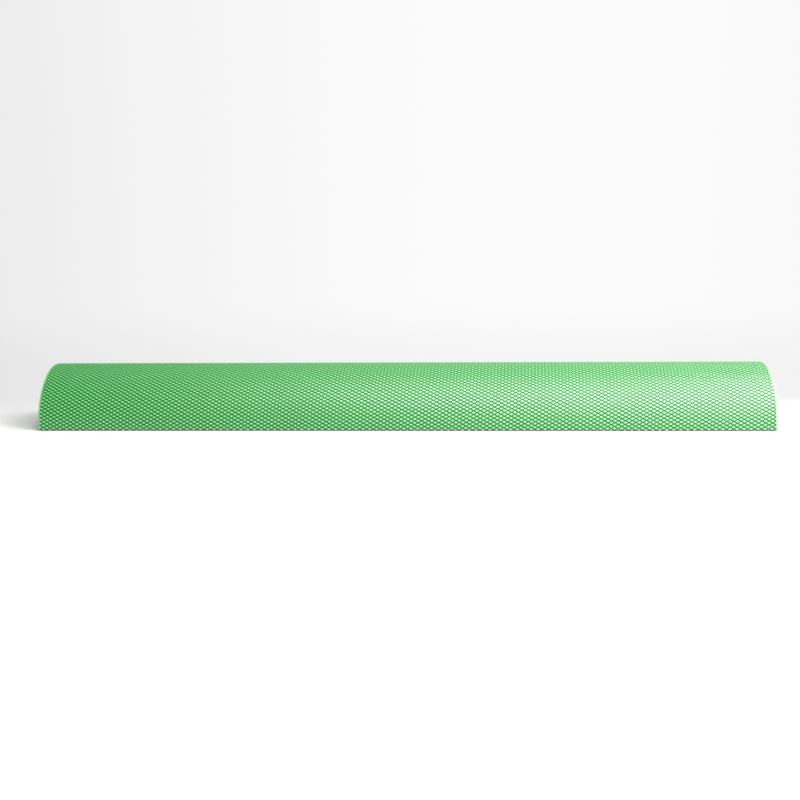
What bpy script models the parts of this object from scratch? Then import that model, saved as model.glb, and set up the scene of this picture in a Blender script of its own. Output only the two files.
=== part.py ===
"""Half round foam roller, built the way the real one is made.

Closed-cell foam sheet is wound in a spiral round a soft foam rod, a textured skin sheet is laminated over the
log, the log is sawn in half along its length, and the skin's end edges are eased. The roller rests on its sawn
face. X runs along the roller, -Y is its front, +Z is up, and the origin is the middle of the sawn face.
"""

import math

import bmesh
import bpy
from mathutils import Vector

# Driving sizes in metres
ROLLER_LENGTH = 0.9144
ROLLER_RADIUS = 0.0762
SKIN_THICKNESS = 0.0040
END_ROUND = 0.0030
ROD_RADIUS = 0.0080
BOND_GAP = 0.0003

# The largest part of the skin's thickness that the eased end edge may take
END_ROUND_WALL_SHARE = 0.9

# Counts
WRAP_COUNT = 7
ARC_STEPS = 60
END_ROUND_STEPS = 6

# The log is sawn through its middle, so each piece goes round half a turn
HALF_TURN = math.pi
TURNS_IN_HALF = 0.5

SMOOTH_ANGLE = math.radians(35)

# Colours are linear, roughness is 0 to 1
SKIN_GREEN = (0.090, 0.440, 0.150, 1.0)
CORE_GREEN = (0.330, 0.600, 0.210, 1.0)
ROD_GREEN = (0.270, 0.540, 0.180, 1.0)
SKIN_ROUGHNESS = 0.45
CORE_ROUGHNESS = 0.85


def clear_scene():
    for obj in list(bpy.data.objects):
        bpy.data.objects.remove(obj, do_unlink=True)


def foam_material(name, colour, roughness):
    material = bpy.data.materials.new(name)
    material.use_nodes = True
    shader = material.node_tree.nodes["Principled BSDF"]
    shader.inputs["Base Color"].default_value = colour
    shader.inputs["Roughness"].default_value = roughness
    shader.inputs["Metallic"].default_value = 0.0
    return material


def add_piece(name, mesh_data, material, parent, left_end):
    """A piece hangs on the roller's empty, with its own origin at the roller's left end."""
    mesh = bpy.data.meshes.new(name)
    bmesh.ops.recalc_face_normals(mesh_data, faces=mesh_data.faces)
    mesh_data.to_mesh(mesh)
    mesh_data.free()
    mesh.materials.append(material)
    mesh.shade_smooth()
    mesh.set_sharp_from_angle(angle=SMOOTH_ANGLE)
    piece = bpy.data.objects.new(name, mesh)
    piece.parent = parent
    piece.location = left_end
    bpy.context.scene.collection.objects.link(piece)
    return piece


def on_arch(radius, share):
    """A point of the cross-section: share 0 is the front sawn edge, one half the crown and 1 the back edge."""
    angle = HALF_TURN * share
    return Vector((0, -radius * math.cos(angle), radius * math.sin(angle)))


# Bond lines of the winding

# Each bond line is the middle of the thin gap between two layers. The first lies on the rod and the last lies
# under the skin, both round. The sheet starts and ends skived to nothing in the half that was sawn away, so
# half a sheet is missing from this half's turns.
ROD_BOND_RADIUS = ROD_RADIUS + BOND_GAP / 2
SKIN_BOND_RADIUS = ROLLER_RADIUS - SKIN_THICKNESS - BOND_GAP / 2
WINDING_PITCH = (SKIN_BOND_RADIUS - ROD_BOND_RADIUS) / (WRAP_COUNT - TURNS_IN_HALF)


def bond_line(turn, share):
    """The radius of the bond line outside the given turn, which climbs by half a sheet over the half turn."""
    if turn == 0:
        return ROD_BOND_RADIUS
    if turn == WRAP_COUNT:
        return SKIN_BOND_RADIUS
    return ROD_BOND_RADIUS + WINDING_PITCH * (turn - TURNS_IN_HALF + TURNS_IN_HALF * share)


def wrap_mesh(turn):
    """One half turn of the wound sheet: a band between two bond lines, drawn at the left end and extruded."""
    shape = bmesh.new()
    rows = []
    for step in range(ARC_STEPS + 1):
        share = step / ARC_STEPS
        inner = on_arch(bond_line(turn - 1, share) + BOND_GAP / 2, share)
        outer = on_arch(bond_line(turn, share) - BOND_GAP / 2, share)
        rows.append((shape.verts.new(inner), shape.verts.new(outer)))
    for (inner_a, outer_a), (inner_b, outer_b) in zip(rows, rows[1:]):
        shape.faces.new((inner_a, outer_a, outer_b, inner_b))
    extrude_along_roller(shape)
    return shape


def rod_mesh():
    """The sawn half of the rod that the winding starts on."""
    shape = bmesh.new()
    arch = [shape.verts.new(on_arch(ROD_RADIUS, step / ARC_STEPS)) for step in range(ARC_STEPS + 1)]
    shape.faces.new(arch)
    extrude_along_roller(shape)
    return shape


def extrude_along_roller(shape):
    grown = bmesh.ops.extrude_face_region(shape, geom=shape.faces[:])
    moved = [item for item in grown["geom"] if isinstance(item, bmesh.types.BMVert)]
    bmesh.ops.translate(shape, verts=moved, vec=(ROLLER_LENGTH, 0, 0))


def skin_profile():
    """The skin's section along the roller, as (x, radius): flat inside, with both outer end corners rounded."""
    inner = ROLLER_RADIUS - SKIN_THICKNESS
    rounding = min(END_ROUND, END_ROUND_WALL_SHARE * SKIN_THICKNESS)
    profile = [(0, inner)]
    for step in range(END_ROUND_STEPS + 1):
        angle = math.pi / 2 * step / END_ROUND_STEPS
        along = rounding * (1 - math.cos(angle))
        profile.append((along, ROLLER_RADIUS - rounding * (1 - math.sin(angle))))
    profile += [(ROLLER_LENGTH - along, radius) for along, radius in reversed(profile)]
    return profile


def skin_mesh():
    """The textured sheet round the log: its section is spun over the arch, from the front edge to the back."""
    shape = bmesh.new()
    section = [shape.verts.new((along, -radius, 0)) for along, radius in skin_profile()]
    cut_face = shape.faces.new(section)
    bmesh.ops.spin(
        shape,
        geom=[cut_face, *cut_face.edges, *cut_face.verts],
        axis=(-1, 0, 0),
        cent=(0, 0, 0),
        angle=HALF_TURN,
        steps=ARC_STEPS,
    )
    return shape


clear_scene()

roller = bpy.data.objects.new("sawn_face_middle", None)
bpy.context.scene.collection.objects.link(roller)
left_end = (-ROLLER_LENGTH / 2, 0, 0)

skin_foam = foam_material("textured_skin_foam", SKIN_GREEN, SKIN_ROUGHNESS)
core_foam = foam_material("core_foam", CORE_GREEN, CORE_ROUGHNESS)
rod_foam = foam_material("rod_foam", ROD_GREEN, CORE_ROUGHNESS)

add_piece("textured_skin", skin_mesh(), skin_foam, roller, left_end)
for turn in range(1, WRAP_COUNT + 1):
    add_piece(f"core_wrap_{turn}", wrap_mesh(turn), core_foam, roller, left_end)
add_piece("core_rod", rod_mesh(), rod_foam, roller, left_end)
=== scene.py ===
"""Half round foam roller: a wound foam core under an embossed foam skin, on a pale studio floor."""

import math

import bmesh
import bpy
import numpy as np
from mathutils import Euler, Matrix, Vector


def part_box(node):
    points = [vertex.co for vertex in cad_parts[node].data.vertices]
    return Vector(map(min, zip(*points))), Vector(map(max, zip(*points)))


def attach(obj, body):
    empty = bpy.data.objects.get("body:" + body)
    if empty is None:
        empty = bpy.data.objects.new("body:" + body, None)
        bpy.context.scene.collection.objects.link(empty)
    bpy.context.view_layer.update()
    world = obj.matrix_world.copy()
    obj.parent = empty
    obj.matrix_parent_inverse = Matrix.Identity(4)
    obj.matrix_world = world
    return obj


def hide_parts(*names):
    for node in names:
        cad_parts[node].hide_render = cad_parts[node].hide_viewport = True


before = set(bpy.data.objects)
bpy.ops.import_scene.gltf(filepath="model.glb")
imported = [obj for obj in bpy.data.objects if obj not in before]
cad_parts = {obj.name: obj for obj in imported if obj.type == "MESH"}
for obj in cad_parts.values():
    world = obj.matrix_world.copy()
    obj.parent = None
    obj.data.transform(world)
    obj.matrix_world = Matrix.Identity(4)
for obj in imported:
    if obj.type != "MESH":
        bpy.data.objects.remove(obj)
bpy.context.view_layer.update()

# Core rod
# A soft round rod of closed-cell polyethylene foam, on which the winding of the log starts. The log
# is sawn lengthwise through its middle, so half of the rod is left. It shows at both ends and below.
rod_low, rod_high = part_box("core_rod")
ROLLER_LENGTH = rod_high.x - rod_low.x
ROD_RADIUS = rod_high.z
ROD_ARCH_STEPS = 32
ROD_EDGE_SOFTNESS = 0.0004
ROD_EDGE_STEPS = 2
SHARP_ANGLE = math.radians(40)
ROD_FOAM_COLOUR = "#76AC62"
ROD_CELL_COLOUR = "#5F934D"
ROD_CELL_SIZE = 0.0009

# Foam as the saw leaves it, on the rod, the wraps and the edges of the skin alike. The cells and the
# saw marks are drawn coarser than real ones, so that they show.
CELL_WALL_SPAN = (0.1, 0.6)
CELL_DEPTH_SHARE = 0.25
SAW_MARKS_PER_METRE = (30, 2500, 2500)
CUT_CLOUDS_PER_METRE = 60.0
CUT_CLOUD_SHADES = (0.93, 1.05)
CUT_ROUGHNESS = (0.78, 0.94)
CUT_BUMP_STRENGTH = 0.35
CUT_FOAM_IOR = 1.49


def linear(hex_colour, alpha=1.0):
    """An sRGB hex colour as the linear colour that the shaders take."""
    parts = [int(hex_colour[i : i + 2], 16) / 255 for i in (1, 3, 5)]
    return [p / 12.92 if p <= 0.04045 else ((p + 0.055) / 1.055) ** 2.4 for p in parts] + [alpha]


def add_node(tree, kind, inputs=None, **settings):
    """Adds a node. An input takes a value, a socket, or a node whose first output it reads."""
    made = tree.nodes.new(kind)
    for name, value in settings.items():
        setattr(made, name, value)
    shown = [socket for socket in made.inputs if socket.enabled]
    for key, value in (inputs or {}).items():
        into = shown[key] if isinstance(key, int) else next(s for s in shown if s.name == key)
        if isinstance(value, bpy.types.Node):
            value = next(socket for socket in value.outputs if socket.enabled)
        if isinstance(value, bpy.types.NodeSocket):
            tree.links.new(value, into)
        else:
            into.default_value = value
    return made


def new_material(name):
    """A material with an empty tree, to which its section adds the nodes."""
    material = bpy.data.materials.new(name)
    material.use_nodes = True
    material.node_tree.nodes.clear()
    return material, material.node_tree


def cut_foam(name, colour, cell_colour, cell_size):
    """Sawn closed-cell foam: dull and pale, with opened cells and fine saw marks along the roller."""
    material, tree = new_material(name)
    place = add_node(tree, "ShaderNodeTexCoord").outputs["Object"]
    cells = add_node(
        tree, "ShaderNodeTexVoronoi", {"Vector": place, "Scale": 1 / cell_size, "Randomness": 1.0}
    )
    opened = add_node(
        tree,
        "ShaderNodeMapRange",
        {
            "Value": cells.outputs["Distance"],
            "From Min": CELL_WALL_SPAN[0],
            "From Max": CELL_WALL_SPAN[1],
        },
    )
    stretched = add_node(
        tree, "ShaderNodeMapping", {"Vector": place, "Scale": SAW_MARKS_PER_METRE}
    )
    saw_marks = add_node(
        tree, "ShaderNodeTexNoise", {"Vector": stretched, "Scale": 1.0, "Detail": 2.0}
    )
    clouds = add_node(
        tree, "ShaderNodeTexNoise", {"Vector": place, "Scale": CUT_CLOUDS_PER_METRE, "Detail": 3.0}
    )
    cloud_gain = add_node(
        tree,
        "ShaderNodeMapRange",
        {"Value": clouds, "To Min": CUT_CLOUD_SHADES[0], "To Max": CUT_CLOUD_SHADES[1]},
    )
    shade = add_node(
        tree,
        "ShaderNodeMix",
        {"Factor": opened, "A": linear(cell_colour), "B": linear(colour)},
        data_type="RGBA",
    )
    tinted = add_node(
        tree, "ShaderNodeVectorMath", {0: shade, "Scale": cloud_gain}, operation="SCALE"
    )
    rough = add_node(
        tree,
        "ShaderNodeMapRange",
        {"Value": saw_marks, "To Min": CUT_ROUGHNESS[0], "To Max": CUT_ROUGHNESS[1]},
    )
    relief = add_node(tree, "ShaderNodeMath", {0: opened, 1: saw_marks}, operation="ADD")
    bump = add_node(
        tree,
        "ShaderNodeBump",
        {
            "Strength": CUT_BUMP_STRENGTH,
            "Distance": cell_size * CELL_DEPTH_SHARE,
            "Height": relief,
        },
    )
    shader = add_node(
        tree,
        "ShaderNodeBsdfPrincipled",
        {"Base Color": tinted, "Roughness": rough, "IOR": CUT_FOAM_IOR, "Normal": bump},
    )
    add_node(tree, "ShaderNodeOutputMaterial", {"Surface": shader})
    return material


def plain_piece(name, source):
    """A plain mesh piece with the evaluated shape of the source, which is then removed."""
    graph = bpy.context.evaluated_depsgraph_get()
    mesh = bpy.data.meshes.new_from_object(source.evaluated_get(graph))
    mesh.name = name
    for slot in reversed(range(len(mesh.materials))):
        if mesh.materials[slot] is None:
            mesh.materials.pop(index=slot)
    bpy.data.objects.remove(source)
    piece = bpy.data.objects.new(name, mesh)
    bpy.context.scene.collection.objects.link(piece)
    return piece


rod_mesh = bpy.data.meshes.new("rod_blank")
rod_shape = bmesh.new()
rod_arch = []
for step in range(ROD_ARCH_STEPS + 1):
    angle = math.pi * step / ROD_ARCH_STEPS
    spot = (-ROLLER_LENGTH / 2, -ROD_RADIUS * math.cos(angle), ROD_RADIUS * math.sin(angle))
    rod_arch.append(rod_shape.verts.new(spot))
rod_shape.faces.new(rod_arch)
grown = bmesh.ops.extrude_face_region(rod_shape, geom=rod_shape.faces[:])
far_end = [item for item in grown["geom"] if isinstance(item, bmesh.types.BMVert)]
bmesh.ops.translate(rod_shape, verts=far_end, vec=(ROLLER_LENGTH, 0, 0))
bmesh.ops.recalc_face_normals(rod_shape, faces=rod_shape.faces)
rod_shape.to_mesh(rod_mesh)
rod_shape.free()
rod_blank = bpy.data.objects.new("rod_blank", rod_mesh)
bpy.context.scene.collection.objects.link(rod_blank)
soften = rod_blank.modifiers.new("softened edges", "BEVEL")
soften.width = ROD_EDGE_SOFTNESS
soften.segments = ROD_EDGE_STEPS
soften.angle_limit = SHARP_ANGLE
core_rod = plain_piece("core_rod_foam", rod_blank)
core_rod.data.materials.clear()

# Polyethylene rod foam, sawn: it shows larger cells and a slightly deeper green than the sheet
core_rod.data.materials.append(
    cut_foam("closed_cell_rod_foam", ROD_FOAM_COLOUR, ROD_CELL_COLOUR, ROD_CELL_SIZE)
)
core_rod.data.shade_smooth()
core_rod.data.set_sharp_from_angle(angle=SHARP_ANGLE)
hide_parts("core_rod")
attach(core_rod, "root")

# Core wraps
# Plain cross-linked EVA foam sheet, wound hot in a spiral round the rod, so that each turn fuses to
# the last. The saw leaves half turns. Cut foam springs back, so each layer stands a hair proud between
# its bond lines.
WRAP_NODES = sorted(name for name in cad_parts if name.startswith("core_wrap_"))
WRAP_BOND_LINE = 0.0001
WRAP_SPRING_BACK = 0.0005
WRAP_SINK_STEEPNESS = 3.0
WRAP_ARCH_STEPS = 96
WRAP_WALL_STEPS = 10
WRAP_FOAM_COLOUR = "#7CB368"
WRAP_CELL_COLOUR = "#679E54"
WRAP_CELL_SIZE = 0.0007
SAWN_FACE_SHARE = 0.4999


def half_turn_tree(material):
    """A cube bent into half a turn of sheet, whose radius runs from its front to its back value."""
    tree = bpy.data.node_groups.new("half_turn_of_sheet", "GeometryNodeTree")
    lengths = ("Length", "Inner Front", "Inner Back", "Outer Front", "Outer Back", "Spring Back")
    for name in lengths:
        tree.interface.new_socket(name, in_out="INPUT", socket_type="NodeSocketFloat")
    for name in ("Arch Steps", "Wall Steps"):
        tree.interface.new_socket(name, in_out="INPUT", socket_type="NodeSocketInt")
    tree.interface.new_socket("Geometry", in_out="OUTPUT", socket_type="NodeSocketGeometry")
    size = add_node(tree, "NodeGroupInput").outputs

    cube = add_node(
        tree,
        "GeometryNodeMeshCube",
        {"Vertices X": 2, "Vertices Y": size["Arch Steps"], "Vertices Z": size["Wall Steps"]},
    )
    cube_side = add_node(
        tree, "ShaderNodeSeparateXYZ", {0: add_node(tree, "GeometryNodeInputPosition")}
    ).outputs
    along = add_node(
        tree, "ShaderNodeMath", {0: cube_side["X"], 1: size["Length"]}, operation="MULTIPLY"
    )
    turn = add_node(tree, "ShaderNodeMath", {0: cube_side["Y"], 1: 0.5}, operation="ADD")
    angle = add_node(tree, "ShaderNodeMath", {0: turn, 1: math.pi}, operation="MULTIPLY")

    # The rows through the wall lie closer together near the bond lines, where the edges are rounded
    swing = add_node(
        tree, "ShaderNodeMath", {0: cube_side["Z"], 1: math.pi}, operation="MULTIPLY"
    )
    across = add_node(tree, "ShaderNodeMath", {0: swing}, operation="SINE")
    depth = add_node(
        tree, "ShaderNodeMapRange", {"Value": across, "From Min": -1.0, "From Max": 1.0}
    )
    inner = add_node(
        tree,
        "ShaderNodeMapRange",
        {"Value": turn, "To Min": size["Inner Front"], "To Max": size["Inner Back"]},
    )
    outer = add_node(
        tree,
        "ShaderNodeMapRange",
        {"Value": turn, "To Min": size["Outer Front"], "To Max": size["Outer Back"]},
    )
    radius = add_node(
        tree, "ShaderNodeMapRange", {"Value": depth, "To Min": inner, "To Max": outer}
    )

    # Cut faces sink towards the bond lines by a steep power of the way there
    squared = add_node(tree, "ShaderNodeMath", {0: across, 1: 2.0}, operation="POWER")
    steep = add_node(
        tree, "ShaderNodeMath", {0: squared, 1: WRAP_SINK_STEEPNESS}, operation="POWER"
    )
    sink = add_node(
        tree, "ShaderNodeMath", {0: steep, 1: size["Spring Back"]}, operation="MULTIPLY"
    )
    end_side = add_node(tree, "ShaderNodeMath", {0: cube_side["X"]}, operation="SIGN")
    end_sink = add_node(tree, "ShaderNodeMath", {0: sink, 1: end_side}, operation="MULTIPLY")
    x = add_node(tree, "ShaderNodeMath", {0: along, 1: end_sink}, operation="SUBTRACT")
    cosine = add_node(tree, "ShaderNodeMath", {0: angle}, operation="COSINE")
    forward = add_node(tree, "ShaderNodeMath", {0: radius, 1: cosine}, operation="MULTIPLY")
    y = add_node(tree, "ShaderNodeMath", {0: forward, 1: -1.0}, operation="MULTIPLY")
    sine = add_node(tree, "ShaderNodeMath", {0: angle}, operation="SINE")
    height = add_node(tree, "ShaderNodeMath", {0: radius, 1: sine}, operation="MULTIPLY")
    from_crown = add_node(tree, "ShaderNodeMath", {0: cube_side["Y"]}, operation="ABSOLUTE")
    sawn = add_node(
        tree, "ShaderNodeMath", {0: from_crown, 1: SAWN_FACE_SHARE}, operation="GREATER_THAN"
    )
    sawn_sink = add_node(tree, "ShaderNodeMath", {0: sink, 1: sawn}, operation="MULTIPLY")
    z = add_node(tree, "ShaderNodeMath", {0: height, 1: sawn_sink}, operation="ADD")
    bent = add_node(
        tree,
        "GeometryNodeSetPosition",
        {
            "Geometry": cube,
            "Position": add_node(tree, "ShaderNodeCombineXYZ", {"X": x, "Y": y, "Z": z}),
        },
    )
    real = add_node(tree, "GeometryNodeRealizeInstances", {0: bent})
    dressed = add_node(tree, "GeometryNodeSetMaterial", {"Geometry": real, "Material": material})
    add_node(tree, "NodeGroupOutput", {0: dressed})
    return tree


def grown_piece(name, tree, values):
    """A piece that a tree makes from nothing, with its inputs set by their identifiers."""
    blank = bpy.data.objects.new(name + "_blank", bpy.data.meshes.new(name + "_blank"))
    bpy.context.scene.collection.objects.link(blank)
    grower = blank.modifiers.new(tree.name, "NODES")
    grower.node_group = tree
    for socket in tree.interface.items_tree:
        if socket.in_out == "INPUT":
            grower[socket.identifier] = values[socket.name]
    return plain_piece(name, blank)


# Cross-linked EVA sheet, split and sawn: finer cells and a paler, more even green than the rod
wrap_foam = cut_foam(
    "cross_linked_eva_sheet", WRAP_FOAM_COLOUR, WRAP_CELL_COLOUR, WRAP_CELL_SIZE
)
half_turn = half_turn_tree(wrap_foam)

# The log's radius so far, at the front sawn edge and at the back one
wound_front = wound_back = ROD_RADIUS
for node_name in WRAP_NODES:
    low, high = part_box(node_name)
    wrap = grown_piece(
        node_name + "_foam",
        half_turn,
        {
            "Length": ROLLER_LENGTH,
            "Inner Front": wound_front + WRAP_BOND_LINE,
            "Inner Back": wound_back + WRAP_BOND_LINE,
            "Outer Front": -low.y,
            "Outer Back": high.y,
            "Spring Back": WRAP_SPRING_BACK,
            "Arch Steps": WRAP_ARCH_STEPS + 1,
            "Wall Steps": WRAP_WALL_STEPS + 1,
        },
    )
    wound_front = -low.y
    wound_back = high.y
    wrap.data.shade_smooth()
    wrap.data.set_sharp_from_angle(angle=SHARP_ANGLE)
    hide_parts(node_name)
    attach(wrap, "root")

# Embossed skin
# A 4 mm sheet of the same foam in bright green. A hot roller presses a lattice of small pillow-shaped
# diamonds into it, then it is laminated over the log. Its ends are eased, so that the paler inside
# shows, and it is rounded where the saw cut it.
skin_low, skin_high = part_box("textured_skin")
SKIN_RADIUS = skin_high.z
SKIN_INNER_RADIUS = wound_back + WRAP_BOND_LINE
SKIN_WIDTH = math.pi * SKIN_RADIUS
SKIN_INNER_STEPS = (48, 48)

# The lattice as the sheet was embossed: its diamonds, and how it was drawn askew over the log
DIAMOND_WIDTH = 0.008442
DIAMOND_HEIGHT = 0.004680
COLUMN_START = 0.00139
ROW_START = -0.00189
COLUMN_LEAN = 0.0609
ROW_RISE = 0.01064
ROW_CURL = 0.01184
ROW_CURL_REACH = 0.120
LATTICE_LOW = (-62, -113)
LATTICE_CELLS = (174, 174)
QUADS_PER_CELL = 4

# The relief of one diamond. Two shares of it part crown from groove and mark the groove's own line.
EMBOSS_DEPTH = 0.00032
CROWN_FLATNESS = 4.0
FLANK_PINCH = 0.08
PRESSED_RELIEF_SHARE = 0.6
GROOVE_LINE_SHARE = 0.001

# The eased rims at both ends, and the rounding at the sawn edges
END_RIM_WIDTHS = (0.0022, 0.0032)
END_RIM_LEDGE = 0.0004
END_RIM_SINK = 0.0003
END_RIM_DROP = 0.0015
END_RIM_STEPS = 6
SAWN_SOFTNESS = 0.0015
SAWN_SOFT_STEPS = 4
TRIM_MARGIN = 0.006
TRIM_SNAP = 0.00003
TRIM_TOLERANCE = 0.000001


def embossed_sheet_tree(crown_foam, groove_foam_with_painted_shade):
    """The flat embossed sheet: X runs along the roller, Y over the arch, and Z is the relief."""
    tree = bpy.data.node_groups.new("embossed_sheet", "GeometryNodeTree")
    lengths = ("Length", "Width", "Trim Margin", "Emboss Depth", "Crown Flatness", "Flank Pinch")
    lattice_lengths = ("Diamond Width", "Diamond Height", "Column Start", "Row Start")
    lattice_skews = ("Column Lean", "Row Rise", "Row Curl", "Row Curl Reach")
    for name in lengths + lattice_lengths + lattice_skews:
        tree.interface.new_socket(name, in_out="INPUT", socket_type="NodeSocketFloat")
    tree.interface.new_socket("Lattice Middle", in_out="INPUT", socket_type="NodeSocketVector")
    for name in ("Cells A", "Cells B", "Quads Per Cell"):
        tree.interface.new_socket(name, in_out="INPUT", socket_type="NodeSocketInt")
    tree.interface.new_socket("Geometry", in_out="OUTPUT", socket_type="NodeSocketGeometry")
    size = add_node(tree, "NodeGroupInput").outputs

    # One unit of the grid is one diamond, and its sides run along the two families of grooves
    points_a, points_b = (
        add_node(
            tree,
            "ShaderNodeMath",
            {0: size[cells], 1: size["Quads Per Cell"], 2: 1.0},
            operation="MULTIPLY_ADD",
        )
        for cells in ("Cells A", "Cells B")
    )
    grid = add_node(
        tree,
        "GeometryNodeMeshGrid",
        {
            "Size X": size["Cells A"],
            "Size Y": size["Cells B"],
            "Vertices X": points_a,
            "Vertices Y": points_b,
        },
    )
    even = add_node(
        tree,
        "ShaderNodeVectorMath",
        {0: add_node(tree, "GeometryNodeInputPosition"), 1: size["Lattice Middle"]},
        operation="ADD",
    )

    # Rows of points draw in towards the grooves, so that a flank is steeper than a crown
    cycle = add_node(
        tree, "ShaderNodeVectorMath", {0: even, "Scale": 2 * math.pi}, operation="SCALE"
    )
    wave = add_node(tree, "ShaderNodeVectorMath", {0: cycle}, operation="SINE")
    shift = add_node(
        tree, "ShaderNodeVectorMath", {0: wave, "Scale": size["Flank Pinch"]}, operation="SCALE"
    )
    lattice = add_node(tree, "ShaderNodeVectorMath", {0: even, 1: shift}, operation="ADD")

    # The relief falls from each crown to its four grooves by a power of the way there
    half_cell = add_node(
        tree, "ShaderNodeVectorMath", {0: lattice, 1: (0.5, 0.5, 0)}, operation="ADD"
    )
    in_cell = add_node(tree, "ShaderNodeVectorMath", {0: half_cell}, operation="FRACTION")
    doubled = add_node(tree, "ShaderNodeVectorMath", {0: in_cell, "Scale": 2.0}, operation="SCALE")
    signed = add_node(
        tree, "ShaderNodeVectorMath", {0: doubled, 1: (1, 1, 1)}, operation="SUBTRACT"
    )
    way = add_node(tree, "ShaderNodeVectorMath", {0: signed}, operation="ABSOLUTE")
    way_parts = add_node(tree, "ShaderNodeSeparateXYZ", {0: way}).outputs
    stands = []
    for side_way in ("X", "Y"):
        fall = add_node(
            tree,
            "ShaderNodeMath",
            {0: way_parts[side_way], 1: size["Crown Flatness"]},
            operation="POWER",
        )
        stands.append(add_node(tree, "ShaderNodeMath", {0: 1.0, 1: fall}, operation="SUBTRACT"))
    emboss = add_node(tree, "ShaderNodeMath", {0: stands[0], 1: stands[1]}, operation="MULTIPLY")
    relief = add_node(
        tree, "ShaderNodeMath", {0: emboss, 1: size["Emboss Depth"]}, operation="MULTIPLY"
    )

    # Columns lean, rows rise along the sheet, and rows curl up near the end where it was drawn on
    columns = add_node(
        tree, "ShaderNodeVectorMath", {0: lattice, 1: (0.5, 0.5, 0)}, operation="DOT_PRODUCT"
    )
    rows = add_node(
        tree, "ShaderNodeVectorMath", {0: lattice, 1: (0.5, -0.5, 0)}, operation="DOT_PRODUCT"
    )
    plain_x = add_node(
        tree,
        "ShaderNodeMath",
        {0: columns, 1: size["Diamond Width"], 2: size["Column Start"]},
        operation="MULTIPLY_ADD",
    )
    plain_y = add_node(
        tree,
        "ShaderNodeMath",
        {0: rows, 1: size["Diamond Height"], 2: size["Row Start"]},
        operation="MULTIPLY_ADD",
    )
    half_length = add_node(
        tree, "ShaderNodeMath", {0: size["Length"], 1: 0.5}, operation="MULTIPLY"
    )

    def row_place(x):
        """How high a row stands at x: its own height, its rise along the sheet and its curl."""
        risen = add_node(
            tree,
            "ShaderNodeMath",
            {0: x, 1: size["Row Rise"], 2: plain_y},
            operation="MULTIPLY_ADD",
        )
        from_end = add_node(tree, "ShaderNodeMath", {0: x, 1: half_length}, operation="ADD")
        reaches = add_node(
            tree, "ShaderNodeMath", {0: from_end, 1: size["Row Curl Reach"]}, operation="DIVIDE"
        )
        falling = add_node(tree, "ShaderNodeMath", {0: reaches, 1: -1.0}, operation="MULTIPLY")
        fading = add_node(tree, "ShaderNodeMath", {0: falling}, operation="EXPONENT")
        return add_node(
            tree,
            "ShaderNodeMath",
            {0: fading, 1: size["Row Curl"], 2: risen},
            operation="MULTIPLY_ADD",
        )

    x = add_node(
        tree,
        "ShaderNodeMath",
        {0: row_place(plain_x), 1: size["Column Lean"], 2: plain_x},
        operation="MULTIPLY_ADD",
    )
    y = row_place(x)
    pressed = add_node(
        tree,
        "GeometryNodeStoreNamedAttribute",
        {"Geometry": grid, "Name": "emboss", "Value": emboss},
        data_type="FLOAT",
        domain="POINT",
    )
    mapped = add_node(
        tree,
        "GeometryNodeStoreNamedAttribute",
        {"Geometry": pressed, "Name": "lattice", "Value": half_cell},
        data_type="FLOAT2",
        domain="CORNER",
    )
    laid = add_node(
        tree,
        "GeometryNodeSetPosition",
        {
            "Geometry": mapped,
            "Position": add_node(tree, "ShaderNodeCombineXYZ", {"X": x, "Y": y, "Z": relief}),
        },
    )

    # What lies past the sheet's sides by more than a margin is left out
    laid_parts = add_node(
        tree, "ShaderNodeSeparateXYZ", {0: add_node(tree, "GeometryNodeInputPosition")}
    ).outputs
    half_width = add_node(tree, "ShaderNodeMath", {0: size["Width"], 1: 0.5}, operation="MULTIPLY")
    over_middle = add_node(
        tree, "ShaderNodeMath", {0: laid_parts["Y"], 1: half_width}, operation="SUBTRACT"
    )
    past = []
    for from_middle, half in ((laid_parts["X"], half_length), (over_middle, half_width)):
        reach = add_node(tree, "ShaderNodeMath", {0: from_middle}, operation="ABSOLUTE")
        limit = add_node(
            tree, "ShaderNodeMath", {0: half, 1: size["Trim Margin"]}, operation="ADD"
        )
        past.append(
            add_node(tree, "ShaderNodeMath", {0: reach, 1: limit}, operation="GREATER_THAN")
        )
    outside = add_node(tree, "ShaderNodeMath", {0: past[0], 1: past[1]}, operation="MAXIMUM")
    kept = add_node(
        tree, "GeometryNodeDeleteGeometry", {"Geometry": laid, "Selection": outside}, domain="POINT"
    )

    # The pillows are smooth, and the grooves between them stay sharp lines
    smooth = add_node(
        tree, "GeometryNodeSetShadeSmooth", {"Geometry": kept, "Shade Smooth": True}
    )
    relief_read = add_node(
        tree, "GeometryNodeInputNamedAttribute", {"Name": "emboss"}, data_type="FLOAT"
    )
    in_groove = add_node(
        tree, "ShaderNodeMath", {0: relief_read, 1: GROOVE_LINE_SHARE}, operation="LESS_THAN"
    )
    creased = add_node(
        tree,
        "GeometryNodeSetShadeSmooth",
        {"Geometry": smooth, "Selection": in_groove, "Shade Smooth": False},
        domain="EDGE",
    )
    real = add_node(tree, "GeometryNodeRealizeInstances", {0: creased})

    # All of it gets the crown's foam, then what is pressed down gets the groove's, whose weaker gloss
    # is partly painted shade
    satin = add_node(tree, "GeometryNodeSetMaterial", {"Geometry": real, "Material": crown_foam})
    pressed_down = add_node(
        tree, "ShaderNodeMath", {0: relief_read, 1: PRESSED_RELIEF_SHARE}, operation="LESS_THAN"
    )
    dressed = add_node(
        tree,
        "GeometryNodeSetMaterial",
        {"Geometry": satin, "Selection": pressed_down, "Material": groove_foam_with_painted_shade},
    )
    add_node(tree, "NodeGroupOutput", {0: dressed})
    return tree
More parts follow.
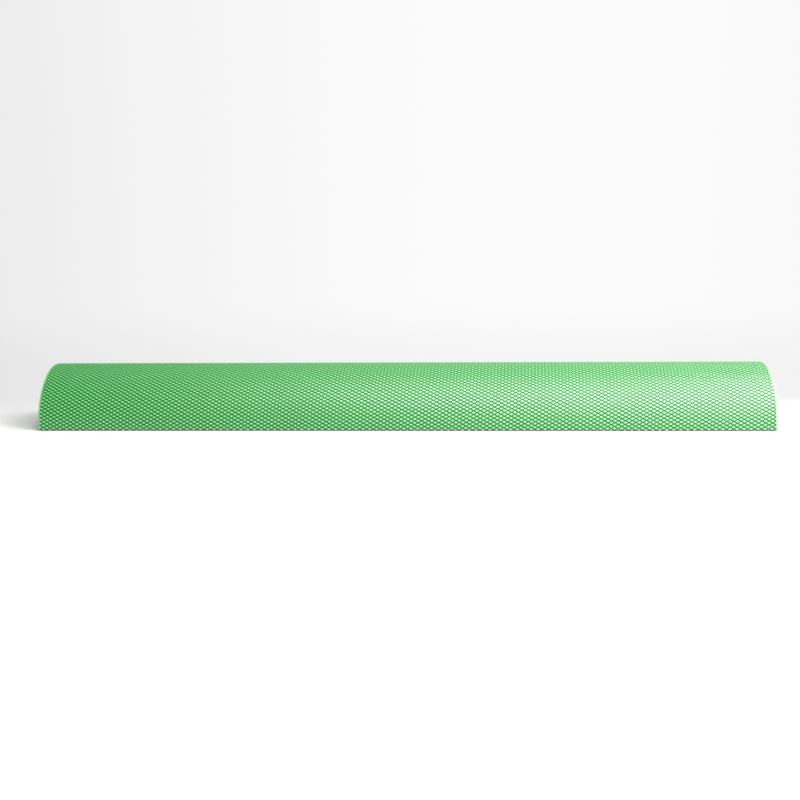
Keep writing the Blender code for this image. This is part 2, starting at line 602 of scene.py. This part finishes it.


# Cross-linked EVA, heat-embossed. The crowns keep the satin skin of the sheet, whose very fine grain
# gives the eye a broad soft highlight. The grooves are a deeper green, partly that of the denser
# pressed foam and partly painted shade, and their flanks are darker still with painted shade. Where
# the relief is low the gloss is cut to about a quarter, and that is partly painted shade too. The
# grain is drawn coarser than the real one, so that it shows.
CROWN_COLOUR = "#62C671"
CROWN_GLOSS = 1.0
CROWN_ROUGHNESS = (0.35, 0.45)
# Groove colour: partly the pressed foam's deeper green, partly painted shade
GROOVE_WITH_PAINTED_SHADE_COLOUR = "#006900"
# The grooves' weaker gloss is partly painted shade
GROOVE_GLOSS_WITH_PAINTED_SHADE = 0.27
GROOVE_ROUGHNESS = (0.35, 0.45)
GROOVE_WITH_PAINTED_SHADE_SPAN = (0.74, 0.98)
# The flanks of the grooves: painted shade
PAINTED_SHADE_FLANK_COLOUR = "#003D00"
PAINTED_SHADE_FLANK_SPAN = (0.48, 0.74)
SKIN_IOR = 1.75
SKIN_CLOUDS_PER_METRE = 22.0
SKIN_CLOUD_SHADES = (0.94, 1.06)
SKIN_GRAIN_SIZE = 0.0006
SKIN_GRAIN_DEPTH = 0.0001
SKIN_BUMP_STRENGTH = 0.25

# The grooves that cross the others are painted paler: the light falls along them, so they show less
# shade.
# A thin dark line along the sawn edges, right above the floor, is a painted contact shadow.
PAINTED_LIGHT_CROSS_GROOVE_SHARE = 0.9
PAINTED_CONTACT_SHADOW_SPAN = (0.0009, 0.0018)
PAINTED_CONTACT_SHADOW_SHADE = 0.3


def embossed_foam(name, gloss, roughness):
    """The bright green skin, with painted shade: its colour follows the lattice, its gloss is that of
    one zone.
    """
    material, tree = new_material(name)
    lattice = add_node(tree, "ShaderNodeUVMap", uv_map="lattice")
    place = add_node(tree, "ShaderNodeTexCoord").outputs["Object"]
    cell = add_node(tree, "ShaderNodeVectorMath", {0: lattice}, operation="FRACTION")
    doubled = add_node(tree, "ShaderNodeVectorMath", {0: cell, "Scale": 2.0}, operation="SCALE")
    signed = add_node(
        tree, "ShaderNodeVectorMath", {0: doubled, 1: (1, 1, 0)}, operation="SUBTRACT"
    )
    way = add_node(tree, "ShaderNodeVectorMath", {0: signed}, operation="ABSOLUTE")
    way_parts = add_node(tree, "ShaderNodeSeparateXYZ", {0: way}).outputs
    # One family of grooves is painted paler, as the light falls along it
    painted_light_cross_way = add_node(
        tree, "ShaderNodeMath", {0: way_parts["Y"], 1: PAINTED_LIGHT_CROSS_GROOVE_SHARE}, operation="MULTIPLY"
    )
    nearest = add_node(
        tree, "ShaderNodeMath", {0: way_parts["X"], 1: painted_light_cross_way}, operation="MAXIMUM"
    )
    # Masks for the painted shade on the flanks and for the groove's green with its painted shade
    painted_flank_shade, groove_with_painted_shade = (
        add_node(
            tree,
            "ShaderNodeMapRange",
            {"Value": nearest, "From Min": span[0], "From Max": span[1]},
            interpolation_type="SMOOTHSTEP",
        )
        for span in (PAINTED_SHADE_FLANK_SPAN, GROOVE_WITH_PAINTED_SHADE_SPAN)
    )
    clouds = add_node(
        tree, "ShaderNodeTexNoise", {"Vector": place, "Scale": SKIN_CLOUDS_PER_METRE, "Detail": 3.0}
    )
    cloud_gain = add_node(
        tree,
        "ShaderNodeMapRange",
        {"Value": clouds, "To Min": SKIN_CLOUD_SHADES[0], "To Max": SKIN_CLOUD_SHADES[1]},
    )
    crown_with_painted_flank_shade = add_node(
        tree,
        "ShaderNodeMix",
        {"Factor": painted_flank_shade, "A": linear(CROWN_COLOUR), "B": linear(PAINTED_SHADE_FLANK_COLOUR)},
        data_type="RGBA",
    )
    colour = add_node(
        tree,
        "ShaderNodeMix",
        {"Factor": groove_with_painted_shade, "A": crown_with_painted_flank_shade, "B": linear(GROOVE_WITH_PAINTED_SHADE_COLOUR)},
        data_type="RGBA",
    )
    # A painted contact shadow darkens the skin just above the floor, along the sawn edges
    height = add_node(tree, "ShaderNodeSeparateXYZ", {0: place}).outputs["Z"]
    painted_contact_shadow_gain = add_node(
        tree,
        "ShaderNodeMapRange",
        {
            "Value": height,
            "From Min": PAINTED_CONTACT_SHADOW_SPAN[0],
            "From Max": PAINTED_CONTACT_SHADOW_SPAN[1],
            "To Min": PAINTED_CONTACT_SHADOW_SHADE,
        },
        interpolation_type="SMOOTHSTEP",
    )
    cloud_and_painted_shadow_gain = add_node(tree, "ShaderNodeMath", {0: cloud_gain, 1: painted_contact_shadow_gain}, operation="MULTIPLY")
    clouded_with_painted_shadow = add_node(tree, "ShaderNodeVectorMath", {0: colour, "Scale": cloud_and_painted_shadow_gain}, operation="SCALE")
    grain = add_node(
        tree,
        "ShaderNodeTexNoise",
        {"Vector": place, "Scale": 1 / SKIN_GRAIN_SIZE, "Detail": 2.0, "Roughness": 0.6},
    )
    rough = add_node(
        tree,
        "ShaderNodeMapRange",
        {"Value": grain, "To Min": roughness[0], "To Max": roughness[1]},
    )
    bump = add_node(
        tree,
        "ShaderNodeBump",
        {"Strength": SKIN_BUMP_STRENGTH, "Distance": SKIN_GRAIN_DEPTH, "Height": grain},
    )
    shader = add_node(
        tree,
        "ShaderNodeBsdfPrincipled",
        {
            "Base Color": clouded_with_painted_shadow,
            "Roughness": rough,
            "IOR": SKIN_IOR,
            "Specular IOR Level": gloss,
            "Normal": bump,
        },
    )
    add_node(tree, "ShaderNodeOutputMaterial", {"Surface": shader})
    return material


lattice_middle = [first + cells / 2 for first, cells in zip(LATTICE_LOW, LATTICE_CELLS)]
skin_sheet = grown_piece(
    "embossed_skin",
    embossed_sheet_tree(
        embossed_foam("satin_eva_crowns", CROWN_GLOSS, CROWN_ROUGHNESS),
        # The grooves' copy of the foam, whose cut gloss is partly painted shade
        embossed_foam("pressed_eva_grooves_with_painted_shade", GROOVE_GLOSS_WITH_PAINTED_SHADE, GROOVE_ROUGHNESS),
    ),
    {
        "Length": ROLLER_LENGTH,
        "Width": SKIN_WIDTH,
        "Diamond Width": DIAMOND_WIDTH,
        "Diamond Height": DIAMOND_HEIGHT,
        "Column Start": COLUMN_START,
        "Row Start": ROW_START,
        "Column Lean": COLUMN_LEAN,
        "Row Rise": ROW_RISE,
        "Row Curl": ROW_CURL,
        "Row Curl Reach": ROW_CURL_REACH,
        "Flank Pinch": FLANK_PINCH,
        "Crown Flatness": CROWN_FLATNESS,
        "Emboss Depth": EMBOSS_DEPTH,
        "Trim Margin": TRIM_MARGIN,
        "Lattice Middle": lattice_middle + [0.0],
        "Cells A": LATTICE_CELLS[0],
        "Cells B": LATTICE_CELLS[1],
        "Quads Per Cell": QUADS_PER_CELL,
    },
)

# The inside of the same sheet, laid bare on the eased rims and the cut edges: paler, greyer and dull,
# with the finest cells
RIM_FOAM_COLOUR = "#A0AF97"
RIM_CELL_COLOUR = "#93A289"
RIM_CELL_SIZE = 0.0006
edge_foam_slot = len(skin_sheet.data.materials)
skin_sheet.data.materials.append(
    cut_foam("eased_eva_edge", RIM_FOAM_COLOUR, RIM_CELL_COLOUR, RIM_CELL_SIZE)
)

# The flat sheet is trimmed, and gets its rims, ends, sawn edges and inner side before it is bent
SKIN_SIDES = ("embossed", "rim", "end", "sawn", "inner")
slab = bmesh.new()
slab.from_mesh(skin_sheet.data)
side_of_face = slab.faces.layers.int.new("side")
trims = [outward * (ROLLER_LENGTH / 2 - width) for outward, width in zip((-1, 1), END_RIM_WIDTHS)]

# Each cut has a point on its plane, the way out of the sheet, and whether what lies out there goes
cuts = [
    ((trims[0], 0, 0), (-1, 0, 0), True),
    ((trims[1], 0, 0), (1, 0, 0), True),
    ((0, 0, 0), (0, -1, 0), True),
    ((0, SKIN_WIDTH, 0), (0, 1, 0), True),
]

# Creases beside the sawn edges give the rounding there its rows of points
for step in range(1, SAWN_SOFT_STEPS + 1):
    inset = SAWN_SOFTNESS * (1 - math.cos(math.pi / 2 * step / SAWN_SOFT_STEPS))
    cuts.append(((0, inset, 0), (0, -1, 0), False))
    cuts.append(((0, SKIN_WIDTH - inset, 0), (0, 1, 0), False))
for cut_at, outward, trimmed in cuts:
    bmesh.ops.bisect_plane(
        slab,
        geom=[*slab.verts, *slab.edges, *slab.faces],
        dist=TRIM_SNAP,
        plane_co=cut_at,
        plane_no=outward,
        use_snap_center=True,
        clear_outer=trimmed,
    )
border = [vert for vert in slab.verts if vert.is_boundary]


def border_chain(axis, place):
    """The border points on one side of the sheet, in order along it."""
    side = [vert for vert in border if abs(vert.co[axis] - place) < TRIM_TOLERANCE]
    return sorted(side, key=lambda vert: vert.co[1 - axis])


def stitch(chain_a, chain_b, axis, side):
    """Fills the strip between two chains of points with triangles, by the shorter step each time."""
    a = b = 0
    while a < len(chain_a) - 1 or b < len(chain_b) - 1:
        step_a = chain_a[a + 1].co[axis] if a < len(chain_a) - 1 else math.inf
        step_b = chain_b[b + 1].co[axis] if b < len(chain_b) - 1 else math.inf
        if step_a <= step_b:
            corners = (chain_a[a], chain_a[a + 1], chain_b[b])
            a += 1
        else:
            corners = (chain_a[a], chain_b[b + 1], chain_b[b])
            b += 1
        face = slab.faces.new(corners)
        face[side_of_face] = SKIN_SIDES.index(side)


# The inner side is a coarse grid. Heights are counted from the bottom of the grooves.
inner_height = SKIN_INNER_RADIUS - (SKIN_RADIUS - EMBOSS_DEPTH)
along_steps, arch_steps = SKIN_INNER_STEPS
inner_grid = [
    [
        slab.verts.new(
            (
                ROLLER_LENGTH * (i / along_steps - 0.5),
                SKIN_WIDTH * j / arch_steps,
                inner_height,
            )
        )
        for j in range(arch_steps + 1)
    ]
    for i in range(along_steps + 1)
]
for row, next_row in zip(inner_grid, inner_grid[1:]):
    for corners in zip(row, row[1:], next_row[1:], next_row):
        face = slab.faces.new(corners)
        face[side_of_face] = SKIN_SIDES.index("inner")

# Each rim starts on a small ledge and rounds down to the end face, which is then stitched to the inner
# side. Last come the two sawn edges.
front_chain = border_chain(1, 0)
back_chain = border_chain(1, SKIN_WIDTH)
rim_start_height = EMBOSS_DEPTH - END_RIM_SINK
end_rows = (inner_grid[0], inner_grid[-1])
for outward, trim_x, width, inner_row in zip((-1, 1), trims, END_RIM_WIDTHS, end_rows):
    ring = border_chain(0, trim_x)
    for step in range(END_RIM_STEPS + 1):
        angle = math.pi / 2 * step / END_RIM_STEPS
        along = END_RIM_LEDGE + (width - END_RIM_LEDGE) * math.sin(angle)
        height = rim_start_height - (END_RIM_DROP - END_RIM_SINK) * (1 - math.cos(angle))
        rim_x = trim_x + outward * along
        next_ring = [slab.verts.new((rim_x, vert.co.y, height)) for vert in ring]
        for corners in zip(ring, ring[1:], next_ring[1:], next_ring):
            face = slab.faces.new(corners)
            face[side_of_face] = SKIN_SIDES.index("rim")
        ring = next_ring
        if outward < 0:
            front_chain.insert(0, ring[0])
            back_chain.insert(0, ring[-1])
        else:
            front_chain.append(ring[0])
            back_chain.append(ring[-1])
    stitch(ring, inner_row, 1, "end")
stitch(front_chain, [row[0] for row in inner_grid], 0, "sawn")
stitch(back_chain, [row[-1] for row in inner_grid], 0, "sawn")
bmesh.ops.recalc_face_normals(slab, faces=slab.faces)

# The bake's map: the outside fills most of it, and the narrow sides lie in strips above
OUTSIDE_LOW_SHARE = 0.01
OUTSIDE_HIGH_SHARE = 0.80
STRIP_LOW_SHARES = {"inner": 0.82, "end": 0.87, "sawn": 0.93}
STRIP_HIGH_SHARE = 0.03
SECOND_SAWN_SHIFT = 0.035
SECOND_END_SHIFT = 0.5
END_WIDTH_SHARE = 0.49
bake_map = slab.loops.layers.uv.new("OFBake")
skin_thickness = EMBOSS_DEPTH - inner_height
for face in slab.faces:
    side = SKIN_SIDES[face[side_of_face]]
    if side != "embossed":
        face.material_index = edge_foam_slot
    face.smooth = side in ("embossed", "rim", "inner")
    middle = face.calc_center_median()
    for loop in face.loops:
        spot = loop.vert.co
        along = spot.x / ROLLER_LENGTH + 0.5
        over = spot.y / SKIN_WIDTH
        deep = (spot.z - inner_height) / skin_thickness
        if side in ("embossed", "rim"):
            on_map = (along, OUTSIDE_LOW_SHARE + OUTSIDE_HIGH_SHARE * over)
        elif side == "inner":
            on_map = (along, STRIP_LOW_SHARES[side] + STRIP_HIGH_SHARE * over)
        elif side == "end":
            shift = 0.0 if middle.x < 0 else SECOND_END_SHIFT
            on_map = (
                shift + END_WIDTH_SHARE * over,
                STRIP_LOW_SHARES[side] + STRIP_HIGH_SHARE * deep,
            )
        else:
            shift = 0.0 if middle.y < SKIN_WIDTH / 2 else SECOND_SAWN_SHIFT
            on_map = (along, STRIP_LOW_SHARES[side] + shift + STRIP_HIGH_SHARE * deep)
        loop[bake_map].uv = on_map

# The sides meet in sharp edges, and the skin has to be closed
for edge in slab.edges:
    sides = {face[side_of_face] for face in edge.link_faces}
    if len(sides) > 1:
        edge.smooth = False
open_edges = sum(1 for edge in slab.edges if len(edge.link_faces) != 2)
if open_edges:
    raise RuntimeError(f"the skin has {open_edges} open edges")
slab.to_mesh(skin_sheet.data)
slab.free()

# The outside is rounded towards the sawn edges, then the flat slab is bent over the log: its height
# becomes a radius and its width an arc
flat = np.empty(len(skin_sheet.data.vertices) * 3, dtype=np.float32)
skin_sheet.data.vertices.foreach_get("co", flat)
flat = flat.reshape(-1, 3).astype(float)
from_sawn_edge = np.minimum(flat[:, 1], SKIN_WIDTH - flat[:, 1]) / SAWN_SOFTNESS
way_round = 1 - np.clip(from_sawn_edge, 0, 1)
outside_points = flat[:, 2] > inner_height + TRIM_SNAP
flat[:, 2] -= np.where(outside_points, SAWN_SOFTNESS * (1 - np.sqrt(1 - way_round**2)), 0)
angle = flat[:, 1] / SKIN_RADIUS
radius = SKIN_RADIUS - EMBOSS_DEPTH + flat[:, 2]
bent = np.stack([flat[:, 0], -radius * np.cos(angle), radius * np.sin(angle)], axis=1)
skin_sheet.data.vertices.foreach_set("co", bent.astype(np.float32).ravel())
skin_sheet.data.update()
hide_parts("textured_skin")
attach(skin_sheet, "root")

# Studio floor
# A plain matt white floor, which takes the roller's shadow. Right behind the roller, and far away on
# all sides, it gives way to the pale backdrop.
FLOOR_REACH = 6.0
FLOOR_COLOUR = "#E2E2E2"
FLOOR_ENDS_BEHIND = (0.05, 0.23)
FLOOR_ENDS_FAR = (1.1, 1.9)


def seen_directly(tree):
    """1 for rays that see the backdrop itself: straight from the camera, by gloss or through glass."""
    ray = add_node(tree, "ShaderNodeLightPath").outputs
    seen = add_node(
        tree,
        "ShaderNodeMath",
        {0: ray["Is Camera Ray"], 1: ray["Is Glossy Ray"]},
        operation="MAXIMUM",
    )
    return add_node(
        tree, "ShaderNodeMath", {0: seen, 1: ray["Is Transmission Ray"]}, operation="MAXIMUM"
    )


floor_mesh = bpy.data.meshes.new("studio_floor")
floor_signs = [(-1, -1), (1, -1), (1, 1), (-1, 1)]
floor_corners = [(x * FLOOR_REACH, y * FLOOR_REACH, 0) for x, y in floor_signs]
floor_mesh.from_pydata(floor_corners, [], [(0, 1, 2, 3)])
studio_floor = bpy.data.objects.new("studio_floor", floor_mesh)
bpy.context.scene.collection.objects.link(studio_floor)

# Matt white paint: an even pale grey with soft shadows and no gloss
floor_paint, tree = new_material("matt_studio_floor")
floor_place = add_node(tree, "ShaderNodeTexCoord").outputs["Object"]
far_back = add_node(tree, "ShaderNodeSeparateXYZ", {0: floor_place}).outputs["Y"]
far_off = add_node(
    tree, "ShaderNodeVectorMath", {0: floor_place}, operation="LENGTH"
).outputs["Value"]
fadings = [
    add_node(
        tree,
        "ShaderNodeMapRange",
        {"Value": way, "From Min": span[0], "From Max": span[1]},
        interpolation_type="SMOOTHSTEP",
    )
    for way, span in ((far_back, FLOOR_ENDS_BEHIND), (far_off, FLOOR_ENDS_FAR))
]
fading = add_node(tree, "ShaderNodeMath", {0: fadings[0], 1: fadings[1]}, operation="MAXIMUM")
clear = add_node(
    tree, "ShaderNodeMath", {0: fading, 1: seen_directly(tree)}, operation="MULTIPLY"
)
floor_shader = add_node(
    tree,
    "ShaderNodeMixShader",
    {
        0: clear,
        1: add_node(tree, "ShaderNodeBsdfDiffuse", {"Color": linear(FLOOR_COLOUR)}),
        2: add_node(tree, "ShaderNodeBsdfTransparent"),
    },
)
add_node(tree, "ShaderNodeOutputMaterial", {"Surface": floor_shader})
floor_mesh.materials.append(floor_paint)

# Studio light
# Three softboxes: the key one high at the right, one over the middle and a low one in front at the
# right. A pale room fills the shadows. What the gloss mirrors is dark in front, and overhead it is
# brighter to the right.
ROOM_LIGHT = 0.43
ROOM_COLOUR = "#FFFFFF"
BACKDROP_COLOUR = "#FFFFFF"
BACKDROP_BRIGHTEST = 0.1
BACKDROP_REACH = 0.3
BACKDROP_LIGHT = (0.80, 0.965)
BACKDROP_FOOT = (-0.11, -0.05)
BACKDROP_FOOT_SHADE = 0.95
UNLIT_SIDE = (0.25, -0.25)
UNLIT_LIGHT = 0.02
OVERHEAD_SPAN = (0.25, 0.45)
OVERHEAD_SIDES = (-0.45, 0.35)
OVERHEAD_LIGHT = (0.15, 1.70)
SOFTBOXES = {
    "key": {"place": (1.12, -0.53, 1.51), "size": (0.75, 1.0), "power": 30.3},
    "middle": {"place": (0.15, -0.92, 1.31), "size": (0.6, 1.5), "power": 17.3},
    "low": {"place": (1.05, -1.30, 0.74), "size": (0.85, 0.65), "power": 16.5},
}
SOFTBOX_AIM = Vector((0, 0, 0.03))

world = bpy.data.worlds.new("pale_room")
bpy.context.scene.world = world
world.use_nodes = True
tree = world.node_tree
tree.nodes.clear()
room = add_node(
    tree, "ShaderNodeBackground", {"Color": linear(ROOM_COLOUR), "Strength": ROOM_LIGHT}
)
facing = add_node(
    tree, "ShaderNodeSeparateXYZ", {0: add_node(tree, "ShaderNodeTexCoord").outputs["Generated"]}
).outputs

# The backdrop is brightest a little right of the middle, and slightly darker where it meets the floor
aside = add_node(
    tree, "ShaderNodeMath", {0: facing["X"], 1: BACKDROP_BRIGHTEST}, operation="SUBTRACT"
)
falling = add_node(tree, "ShaderNodeMath", {0: aside, 1: aside}, operation="MULTIPLY")
glow = add_node(
    tree,
    "ShaderNodeMapRange",
    {
        "Value": falling,
        "From Max": BACKDROP_REACH,
        "To Min": BACKDROP_LIGHT[1],
        "To Max": BACKDROP_LIGHT[0],
    },
)
foot = add_node(
    tree,
    "ShaderNodeMapRange",
    {
        "Value": facing["Z"],
        "From Min": BACKDROP_FOOT[0],
        "From Max": BACKDROP_FOOT[1],
        "To Min": BACKDROP_FOOT_SHADE,
    },
    interpolation_type="SMOOTHSTEP",
)
wall = add_node(tree, "ShaderNodeMath", {0: glow, 1: foot}, operation="MULTIPLY")

# Gloss sees the same wall behind the roller, but another ceiling, and hardly any light from the front
in_front, overhead, ceiling = (
    add_node(
        tree,
        "ShaderNodeMapRange",
        {
            "Value": facing[way],
            "From Min": span[0],
            "From Max": span[1],
            "To Min": light[0],
            "To Max": light[1],
        },
        interpolation_type="SMOOTHSTEP",
    )
    for way, span, light in (
        ("Y", UNLIT_SIDE, (0.0, 1.0)),
        ("Z", OVERHEAD_SPAN, (0.0, 1.0)),
        ("X", OVERHEAD_SIDES, OVERHEAD_LIGHT),
    )
)
lit_part = add_node(
    tree, "ShaderNodeMix", {"Factor": overhead, "A": wall, "B": ceiling}, data_type="FLOAT"
)
mirrored = add_node(
    tree, "ShaderNodeMix", {"Factor": in_front, "A": lit_part, "B": UNLIT_LIGHT}, data_type="FLOAT"
)
by_gloss = add_node(tree, "ShaderNodeLightPath").outputs["Is Glossy Ray"]
strength = add_node(
    tree, "ShaderNodeMix", {"Factor": by_gloss, "A": wall, "B": mirrored}, data_type="FLOAT"
)
backdrop = add_node(
    tree, "ShaderNodeBackground", {"Color": linear(BACKDROP_COLOUR), "Strength": strength}
)
surroundings = add_node(
    tree, "ShaderNodeMixShader", {0: seen_directly(tree), 1: room, 2: backdrop}
)
add_node(tree, "ShaderNodeOutputWorld", {"Surface": surroundings})

for name, softbox in SOFTBOXES.items():
    lamp = bpy.data.lights.new(name + "_softbox", "AREA")
    lamp.shape = "RECTANGLE"
    lamp.size, lamp.size_y = softbox["size"]
    lamp.energy = softbox["power"]
    stand = bpy.data.objects.new(name + "_softbox", lamp)
    stand.location = softbox["place"]
    stand.rotation_euler = (SOFTBOX_AIM - stand.location).to_track_quat("-Z", "Y").to_euler()
    bpy.context.scene.collection.objects.link(stand)

# Camera
# It stands in front, right of the middle, and looks slightly down and left, as in the photograph.
CAMERA_PLACE = (0.0583, -1.4128, 0.2345)
CAMERA_PITCH = math.radians(8.325)
CAMERA_YAW = math.radians(2.63)
CAMERA_ROLL = math.radians(-0.437)
CAMERA_LENS = 49.55

camera_data = bpy.data.cameras.new("camera")
camera_data.lens = CAMERA_LENS
camera = bpy.data.objects.new("camera", camera_data)
level_aim = Euler((math.pi / 2 - CAMERA_PITCH, 0, CAMERA_YAW)).to_matrix()
rolled_aim = level_aim @ Matrix.Rotation(CAMERA_ROLL, 3, "Z")
camera.matrix_world = Matrix.Translation(CAMERA_PLACE) @ rolled_aim.to_4x4()
bpy.context.scene.collection.objects.link(camera)
bpy.context.scene.camera = camera
bpy.context.scene.view_settings.view_transform = "Standard"
